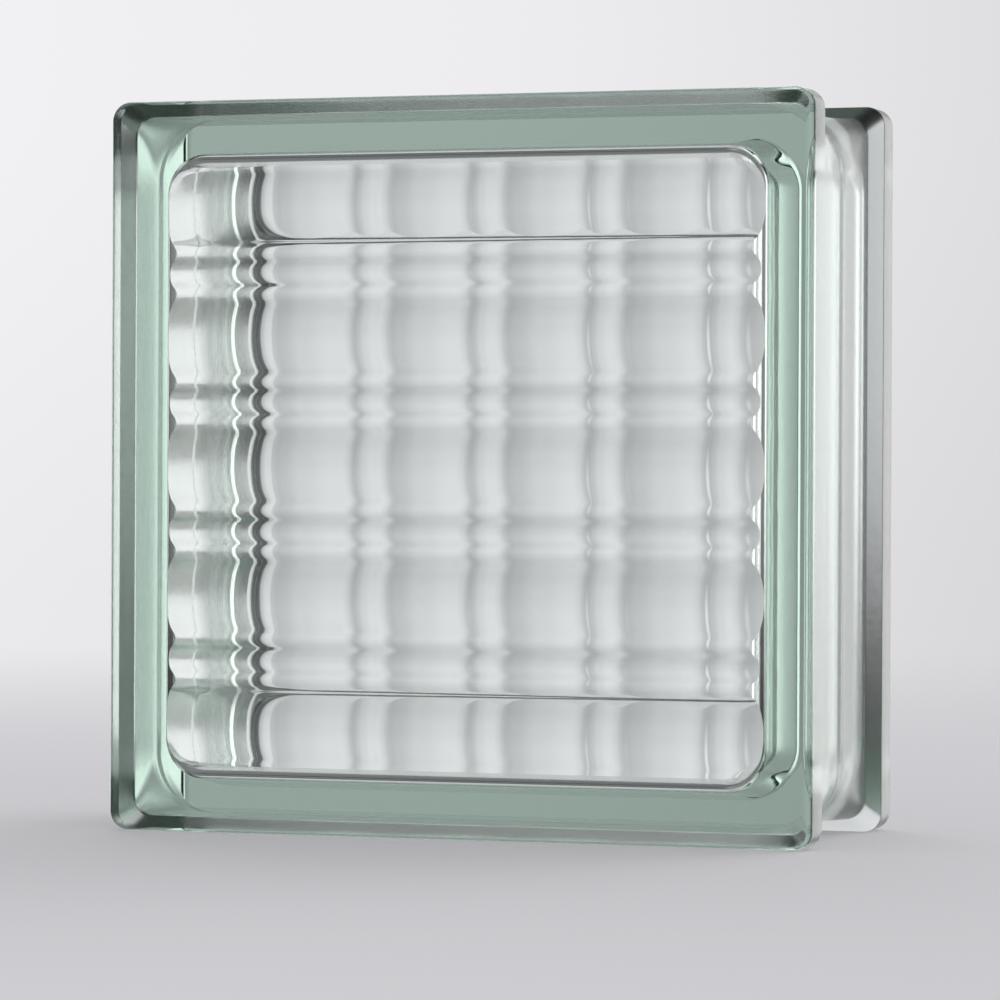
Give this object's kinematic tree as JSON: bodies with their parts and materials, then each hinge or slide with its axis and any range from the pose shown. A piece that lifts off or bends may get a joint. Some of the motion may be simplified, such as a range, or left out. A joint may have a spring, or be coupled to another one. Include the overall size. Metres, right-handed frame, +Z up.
{
  "type": "glass block",
  "caption": "Hollow pressed-glass building block with crossed flutes on its inner faces and a mortar channel between its edge flanges.",
  "frame": {"origin": "middle of the block's width and depth, on the surface that it stands on", "axes": "+X across the width to the right, +Y from the front face to the back face, +Z up; the front half has the horizontal flutes"},
  "size_m": [0.19, 0.08, 0.19],
  "materials": {
    "pressed_glass": "clear soda-lime glass with a faint green tint, pressed and fire-polished, glossy"
  },
  "bodies": {
    "root": {"front_half": "pressed_glass", "back_half": "pressed_glass"}
  },
  "joints": []
}
